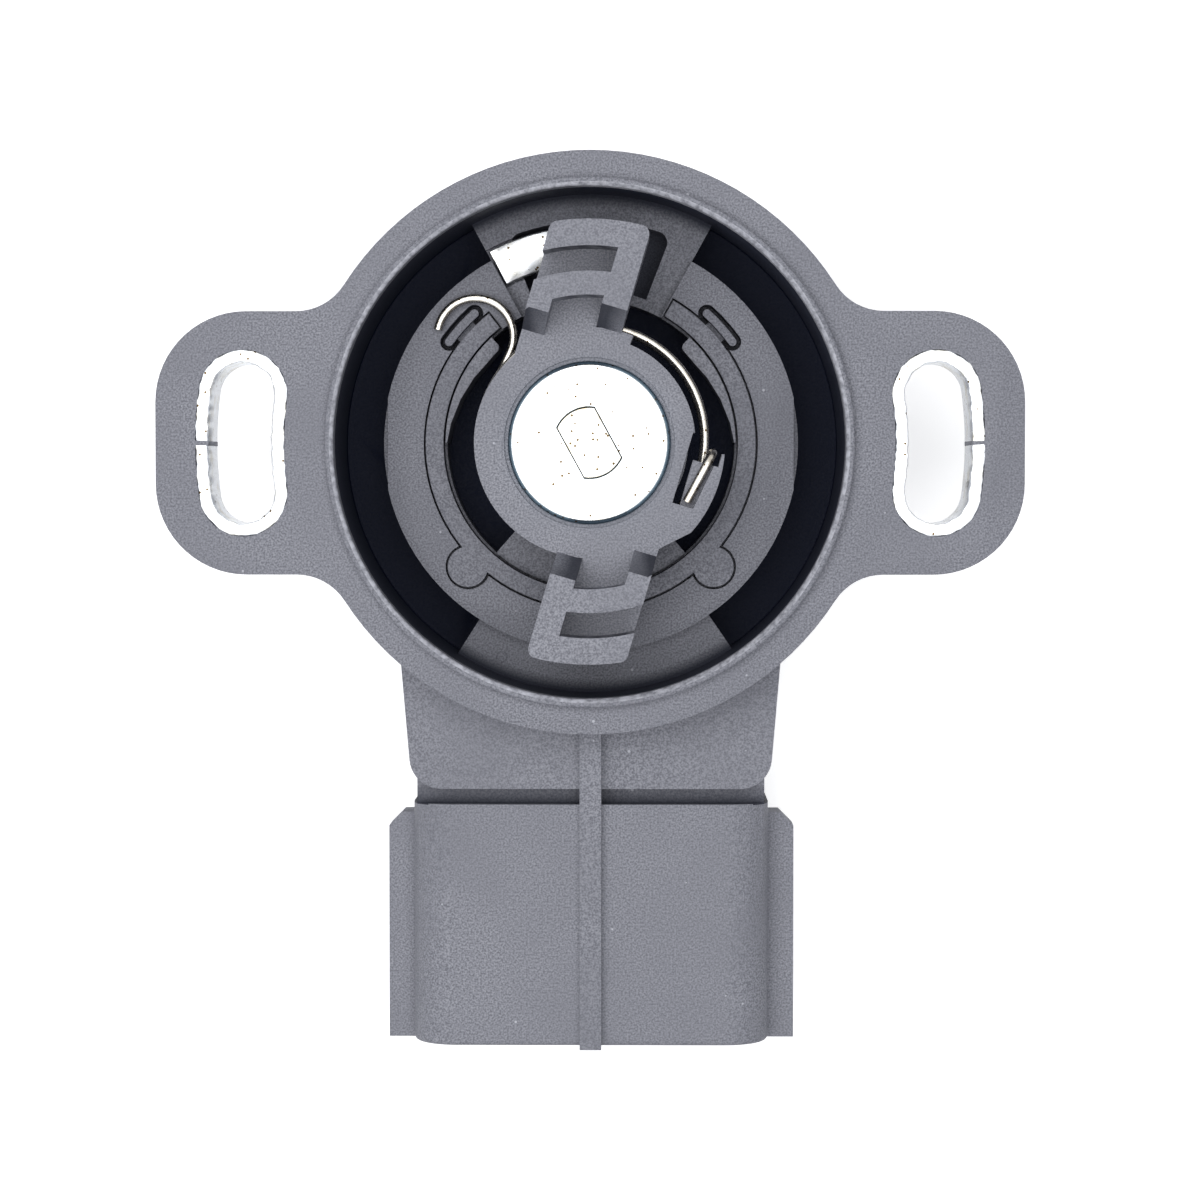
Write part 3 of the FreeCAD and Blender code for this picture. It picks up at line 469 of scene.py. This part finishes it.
def pathMesh(name, points):
    mesh = bpy.data.meshes.new(name)
    mesh.from_pydata(points, [(index, index + 1) for index in range(len(points) - 1)], [])
    return mesh


# moulded and pressed pieces whose edges are softened: width of the rounding
softEdges = {
    "housing": 0.14 * mm,
    "rotor": 0.2 * mm,
    "spring_retainer": 0.17 * mm,
    "hub_washer": 0.08 * mm,
    "rotor_shaft": 0.05 * mm,
    "steel_tab": 0.12 * mm,
    "rear_cover": 0.15 * mm,
}
softening = {"segments": 2, "sharpAngle": 28, "flatAngle": 0.4, "mergeDistance": 0.001 * mm}


def softened(name, width):
    mesh = nodes[name].data.copy()
    shape = bmesh.new()
    shape.from_mesh(mesh)
    bmesh.ops.remove_doubles(shape, verts=shape.verts, dist=softening["mergeDistance"])
    bmesh.ops.dissolve_limit(
        shape, angle_limit=math.radians(softening["flatAngle"]), verts=shape.verts, edges=shape.edges
    )
    for face in shape.faces:
        face.smooth = True
    shape.to_mesh(mesh)
    shape.free()
    piece = newPiece(f"{name}Soft", mesh)
    bevel = piece.modifiers.new("softEdges", "BEVEL")
    bevel.width = width
    bevel.segments = softening["segments"]
    bevel.limit_method = "ANGLE"
    bevel.angle_limit = math.radians(softening["sharpAngle"])
    bevel.harden_normals = True
    applyModifiers(piece)
    return piece


# the shaft's flatted end stands a hair clear of the washer's hole
stakedEnd = {"above": 0.32 * mm, "shrink": 0.975}


def loosenEnd(mesh, look):
    for vertex in mesh.vertices:
        if vertex.co.z > look["above"]:
            vertex.co.xy *= look["shrink"]


for name, width in softEdges.items():
    piece = softened(name, width)
    if name == "rotor_shaft":
        loosenEnd(piece.data, stakedEnd)
    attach(piece, bodyOf[name])
    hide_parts(name)
    print("softened:", name, len(piece.data.polygons), "faces")


# the row of plug blades: one blade, repeated across the socket
plugBlades = {
    "edgeWidth": 0.09 * mm,
    "nodes": sorted(name for name in nodes if name.startswith("terminal_")),
}


def bladeRowTree():
    tree, given = startTree("bladeRow", {"Count": "Int", "Pitch": "Float", "Material": "Material"})
    step = addNode(tree, "ShaderNodeCombineXYZ", {"X": given["Pitch"]}).outputs[0]
    row = addNode(tree, "GeometryNodeMeshLine", {"Count": given["Count"], "Offset": step}).outputs[0]
    blades = addNode(tree, "GeometryNodeInstanceOnPoints", {"Points": row, "Instance": given["Geometry"]})
    endTree(tree, blades.outputs[0], given["Material"])
    return tree


def buildBlades(look):
    first, second = look["nodes"][:2]
    blades = softened(first, look["edgeWidth"])
    blades.name = "plugBlades"
    growPiece(blades, bladeRowTree(), {
        "Count": len(look["nodes"]),
        "Pitch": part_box(second)[0][0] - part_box(first)[0][0],
        "Material": materials[slotOf[first]],
    })
    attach(blades, bodyOf[first])
    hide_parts(*look["nodes"])
    print("blades built:", len(blades.data.polygons), "faces")


buildBlades(plugBlades)


# rolled steel sleeve of a screw slot: a strip bent round the slot, with a seam on its outer side
slotSleeve = {
    "slotCircle": 27.0 * mm,
    "halfSweep": 8.0,
    "slotWidth": 4.9 * mm,
    "wall": 1.0 * mm,
    "height": 6.0 * mm,
    "seam": 0.35 * mm,
    "proud": 0.03 * mm,
    "edgeRound": 0.16 * mm,
    "edgeSteps": 3,
    "ragged": 0.09 * mm,
    "raggedSize": 0.7 * mm,
    "raggedDepth": 0.4 * mm,
    "raggedDetail": 2.0,
    "noiseMiddle": 0.5,
    "noiseReach": 0.25,  # how far the noise strays from its middle
    "stepAngle": 0.25,
    "capStep": 5.0,
    "sharpAngle": 50,
}


def sleevePath(look, side):
    circle = look["slotCircle"]
    half = (look["slotWidth"] + look["wall"]) / 2
    sweep = look["halfSweep"]
    seamAngle = math.degrees(look["seam"] / 2 / (circle + half))
    middle = (look["proud"] - look["height"]) / 2

    def polar(radius, angle, centre=(0, 0)):
        turn = math.radians(angle)
        return centre[0] + radius * math.cos(turn), centre[1] + radius * math.sin(turn), middle

    def arc(radius, start, end, step, centre=(0, 0)):
        count = max(2, round(abs(end - start) / step))
        return [polar(radius, start + (end - start) * index / count, centre) for index in range(count)]

    upper, lower = polar(circle, side + sweep), polar(circle, side - sweep)
    return [
        *arc(circle + half, side + seamAngle, side + sweep, look["stepAngle"]),
        *arc(half, side + sweep, side + sweep + 180, look["capStep"], upper),
        *arc(circle - half, side + sweep, side - sweep, look["stepAngle"]),
        *arc(half, side - sweep + 180, side - sweep + 360, look["capStep"], lower),
        *arc(circle + half, side - sweep, side - seamAngle, look["stepAngle"]),
        polar(circle + half, side - seamAngle),
    ]


def sleeveTree(look):
    inputs = {"Wall": "Float", "Height": "Float", "Edge Round": "Float", "Ragged": "Float"}
    inputs |= {"Ragged Scale": "Float", "Ragged Depth": "Float", "Material": "Material"}
    tree, given = startTree("rolledSleeve", inputs)
    path = addNode(tree, "GeometryNodeMeshToCurve", {"Mesh": given["Geometry"]}).outputs[0]
    path = addNode(tree, "GeometryNodeSetCurveNormal", {"Curve": path}, mode="Z_UP").outputs[0]
    strip = addNode(
        tree, "GeometryNodeCurvePrimitiveQuadrilateral", {"Width": given["Wall"], "Height": given["Height"]}
    ).outputs[0]
    rounding = {"Curve": strip, "Radius": given["Edge Round"], "Count": look["edgeSteps"]}
    strip = addNode(tree, "GeometryNodeFilletCurve", rounding, mode="POLY").outputs[0]
    sweep = {"Curve": path, "Profile Curve": strip, "Fill Caps": True}
    sleeve = addNode(tree, "GeometryNodeCurveToMesh", sweep).outputs[0]

    # the upper rim's edges are uneven, where the moulding closed on them
    place = addNode(tree, "GeometryNodeInputPosition").outputs[0]
    normal = addNode(tree, "GeometryNodeInputNormal").outputs[0]
    level = {0: normal, 1: (1, 1, 0)}
    sideways = addNode(tree, "ShaderNodeVectorMath", level, operation="MULTIPLY").outputs[0]
    sideways = addNode(tree, "ShaderNodeVectorMath", {0: sideways}, operation="NORMALIZE").outputs[0]
    height = addNode(tree, "ShaderNodeSeparateXYZ", {"Vector": place}).outputs["Z"]
    depth = maths(tree, "MULTIPLY", given["Ragged Depth"], -1.0)
    nearRim = maths(tree, "GREATER_THAN", height, depth)
    waves = {"Vector": place, "Scale": given["Ragged Scale"], "Detail": look["raggedDetail"]}
    waves = addNode(tree, "ShaderNodeTexNoise", waves)
    shift = maths(tree, "SUBTRACT", waves.outputs["Fac"], look["noiseMiddle"])
    shift = product(tree, shift, given["Ragged"], nearRim)
    push = {0: sideways, "Scale": shift}
    moved = addNode(tree, "ShaderNodeVectorMath", push, operation="SCALE").outputs[0]
    sleeve = addNode(tree, "GeometryNodeSetPosition", {"Geometry": sleeve, "Offset": moved}).outputs[0]
    sleeve = addNode(tree, "GeometryNodeSetShadeSmooth", {"Geometry": sleeve}).outputs[0]
    endTree(tree, sleeve, given["Material"])
    return tree


def buildSleeves(look):
    tree = sleeveTree(look)
    for name, side in (("right_slot_bush", 0), ("left_slot_bush", 180)):
        sleeve = newPiece(f"{name}Rolled", pathMesh(name, sleevePath(look, side)))
        growPiece(sleeve, tree, {
            "Wall": look["wall"],
            "Height": look["height"] + look["proud"],
            "Edge Round": look["edgeRound"],
            "Ragged": look["ragged"] / look["noiseReach"],
            "Ragged Scale": 1 / look["raggedSize"],
            "Ragged Depth": look["raggedDepth"],
            "Material": materials[slotOf[name]],
        })
        sleeve.data.set_sharp_from_angle(angle=math.radians(look["sharpAngle"]))
        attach(sleeve, bodyOf[name])
        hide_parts(name)
        print("sleeve rolled:", name, len(sleeve.data.polygons), "faces")


buildSleeves(slotSleeve)


# return spring: a hook round the housing's catch, the coil, and a bend over the rotor's horn
returnSpring = {
    "wireRadius": 0.35 * mm,
    "coilRadius": 8.75 * mm,
    "coilOffset": 0.4 * mm,
    "coilOffsetAngle": 65.0,
    "startAngle": 155.3,
    "sweep": 896.3,
    "lowHeight": -5.34 * mm,
    "highHeight": -1.8 * mm,
    "hookRun": 3.5 * mm,
    "hookRadius": 3.0 * mm,
    "hookSweep": 195.0,
    "rotorRun": 2.15 * mm,
    "legHeight": 0.86 * mm,
    "legLength": 2.9 * mm,
    "coilSteps": 220,
    "bendSteps": 28,
    "wireSides": 20,
    "sharpAngle": 50,
    # heights parting the coil between the housing below and the rotor above; not used here
    "heldBelow": -5.2 * mm,
    "drivenAbove": -1.9 * mm,
}


def springPath(look):
    up = Vector((0, 0, 1))
    turn = math.radians(look["coilOffsetAngle"])
    centre = Vector((math.cos(turn), math.sin(turn), 0)) * look["coilOffset"]
    rise = look["highHeight"] - look["lowHeight"]
    slope = rise / math.radians(look["sweep"])

    def onCoil(share):
        angle = math.radians(look["startAngle"] + look["sweep"] * share)
        out = Vector((math.cos(angle), math.sin(angle), 0))
        along = (up.cross(out) * look["coilRadius"] + up * slope).normalized()
        point = centre + out * look["coilRadius"] + up * (look["lowHeight"] + rise * share)
        return point, out, along

    first, out, along = onCoil(0)
    runEnd = first - along * look["hookRun"]
    middle = runEnd + out * look["hookRadius"]
    steps = range(look["bendSteps"] + 1)
    bends = [math.radians(look["hookSweep"]) * (1 - step / look["bendSteps"]) for step in steps]
    hook = [middle + Matrix.Rotation(bend, 3, out.cross(along)) @ (runEnd - middle) for bend in bends]
    coil = [onCoil(step / look["coilSteps"])[0] for step in range(look["coilSteps"] + 1)]

    last, out, along = onCoil(1)
    bend = last + along * look["rotorRun"]
    lift = out.cross(along)
    half = (look["legHeight"] - bend.z) / 2
    turns = [math.pi * step / look["bendSteps"] for step in steps]
    over = [bend + lift * half * (1 - math.cos(turn)) + along * half * math.sin(turn) for turn in turns]
    return hook + coil + over + [over[-1] - along * look["legLength"]]


def wireTree():
    tree, given = startTree("bentWire", {"Wire Radius": "Float", "Sides": "Int", "Material": "Material"})
    path = addNode(tree, "GeometryNodeMeshToCurve", {"Mesh": given["Geometry"]}).outputs[0]
    circle = {"Resolution": given["Sides"], "Radius": given["Wire Radius"]}
    ring = addNode(tree, "GeometryNodeCurvePrimitiveCircle", circle).outputs["Curve"]
    sweep = {"Curve": path, "Profile Curve": ring, "Fill Caps": True}
    wire = addNode(tree, "GeometryNodeCurveToMesh", sweep).outputs[0]
    wire = addNode(tree, "GeometryNodeSetShadeSmooth", {"Geometry": wire}).outputs[0]
    endTree(tree, wire, given["Material"])
    return tree


def buildSpring(look):
    spring = newPiece("returnSpringWire", pathMesh("springPath", springPath(look)))
    growPiece(spring, wireTree(), {
        "Wire Radius": look["wireRadius"],
        "Sides": look["wireSides"],
        "Material": materials[slotOf["return_spring"]],
    })
    spring.data.set_sharp_from_angle(angle=math.radians(look["sharpAngle"]))
    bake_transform(spring)
    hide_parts("return_spring")
    print("spring wound:", len(spring.data.polygons), "faces")


buildSpring(returnSpring)


# faint rings left by the mould's ejector pins: x, y, z and radius of each in millimetres
ejectorMarks = {
    "shelfRings": [(-7.1, -16.9, -7.5, 0.4)],
    "mirroredRings": [
        (32.0, 0, -6.0, 0.9),
        (27.3, 8.65, -6.0, 0.9),
        (27.3, -8.65, -6.0, 0.9),
        (8.0, -31.6, -18.5, 1.2),
        (8.0, -44.0, -18.5, 1.2),
    ],
    "ridge": 0.05 * mm,
    "ridgeSides": 8,
    "ringSides": 40,
}


def ringTree(look):
    inputs = {"Ridge": "Float", "Sides": "Int", "Material": "Material"}
    tree, given = startTree("pinRings", inputs)
    size = addNode(tree, "GeometryNodeInputNamedAttribute", {"Name": "ringRadius"}, data_type="FLOAT")
    circle = addNode(tree, "GeometryNodeCurvePrimitiveCircle", {"Resolution": given["Sides"], "Radius": 1.0})
    flat = addNode(tree, "GeometryNodeInstanceOnPoints", {
        "Points": given["Geometry"], "Instance": circle.outputs["Curve"], "Scale": size.outputs[0],
    }).outputs[0]
    rings = addNode(tree, "GeometryNodeRealizeInstances", {"Geometry": flat}).outputs[0]
    section = {"Resolution": look["ridgeSides"], "Radius": given["Ridge"]}
    ridge = addNode(tree, "GeometryNodeCurvePrimitiveCircle", section)
    rings = addNode(
        tree, "GeometryNodeCurveToMesh", {"Curve": rings, "Profile Curve": ridge.outputs["Curve"]}
    ).outputs[0]
    rings = addNode(tree, "GeometryNodeSetShadeSmooth", {"Geometry": rings}).outputs[0]
    endTree(tree, rings, given["Material"])
    return tree


def buildEjectorMarks(look):
    rings = list(look["shelfRings"])
    for x, y, z, radius in look["mirroredRings"]:
        rings += [(x, y, z, radius), (-x, y, z, radius)]
    mesh = bpy.data.meshes.new("pinPlaces")
    mesh.from_pydata([Vector(ring[:3]) * mm for ring in rings], [], [])
    sizes = mesh.attributes.new("ringRadius", "FLOAT", "POINT")
    sizes.data.foreach_set("value", [ring[3] * mm for ring in rings])
    marks = newPiece("ejectorMarks", mesh)
    growPiece(marks, ringTree(look), {
        "Ridge": look["ridge"],
        "Sides": look["ringSides"],
        "Material": materials["moulded_plastic"],
    })
    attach(marks, "housing")
    print("ejector marks:", len(rings), "rings")


buildEjectorMarks(ejectorMarks)


# floor, light and camera
studio = {
    "floorSize": 3.0,
    "floorColour": (246, 246, 246),
    "floorRoughness": 0.9,
    "floorGlow": (0.6, 1.0),  # near the object, where its shadow lies, and far from it
    "glowDistances": (0.1, 0.5),
    "skyColour": (222, 228, 240),
    "skyStrength": 0.2,
    "lampPlace": (-0.12, 0.02, 0.6),
    "lampSize": 0.9,
    "lampPower": 4.9,
    "cameraPlace": (3.5 * mm, -3.0 * mm, 250 * mm),
    "cameraTarget": (0.8 * mm, -12.1 * mm, 0),
    "frameWidth": 92.6 * mm,
    "sensorWidth": 36,
    "clipStart": 0.01,
}


def seenDirectly(tree):
    # 1 for rays from the camera, also by way of metal or glass
    rays = addNode(tree, "ShaderNodeLightPath").outputs
    return largest(tree, rays["Is Camera Ray"], rays["Is Glossy Ray"], rays["Is Transmission Ray"])


def buildFloor():
    half, bottom = studio["floorSize"] / 2, cadBox[0][2]
    mesh = bpy.data.meshes.new("floor")
    corners = [(-half, -half, bottom), (half, -half, bottom), (half, half, bottom), (-half, half, bottom)]
    mesh.from_pydata(corners, [], [(0, 1, 2, 3)])
    floor = newPiece("floor", mesh)
    material, tree, shader, place = startMaterial("paleFloor")
    shader.inputs["Base Color"].default_value = linear(*studio["floorColour"])
    shader.inputs["Roughness"].default_value = studio["floorRoughness"]
    shader.inputs["Specular IOR Level"].default_value = 0.0
    shader.inputs["Emission Color"].default_value = (1, 1, 1, 1)
    _, distance = heightAndRadius(tree, place)
    glow = remap(tree, distance, *studio["glowDistances"], *studio["floorGlow"])
    tree.links.new(product(tree, seenDirectly(tree), glow), shader.inputs["Emission Strength"])
    mesh.materials.append(material)


def buildLight():
    world = bpy.data.worlds.new("softRoom")
    bpy.context.scene.world = world
    world.use_nodes = True
    tree = world.node_tree
    tree.nodes.clear()
    sky = {"Color": linear(*studio["skyColour"]), "Strength": studio["skyStrength"]}
    dim = addNode(tree, "ShaderNodeBackground", sky).outputs[0]
    white = addNode(tree, "ShaderNodeBackground", {"Color": (1, 1, 1, 1), "Strength": 1.0}).outputs[0]
    mix = addNode(tree, "ShaderNodeMixShader", {0: seenDirectly(tree), 1: dim, 2: white}).outputs[0]
    addNode(tree, "ShaderNodeOutputWorld", {"Surface": mix})

    lamp = bpy.data.lights.new("overheadSoftbox", "AREA")
    lamp.shape = "DISK"
    lamp.size = studio["lampSize"]
    lamp.energy = studio["lampPower"]
    newPiece("overheadSoftbox", lamp).location = studio["lampPlace"]


def buildCamera():
    camera = bpy.data.cameras.new("overheadCamera")
    holder = newPiece("overheadCamera", camera)
    place = Vector(studio["cameraPlace"])
    sight = Vector(studio["cameraTarget"]) - place
    ahead = sight.normalized()
    right = ahead.cross(Vector((0, 1, 0))).normalized()  # the picture's top is towards +Y
    turn = Matrix((right, right.cross(ahead), -ahead)).transposed()
    holder.matrix_world = Matrix.Translation(place) @ turn.to_4x4()
    camera.sensor_width = studio["sensorWidth"]
    camera.lens = studio["sensorWidth"] * sight.length / studio["frameWidth"]
    camera.clip_start = studio["clipStart"]
    bpy.context.scene.camera = holder


buildFloor()
buildLight()
buildCamera()
bpy.context.scene.view_settings.view_transform = "Standard"
print("stage set")
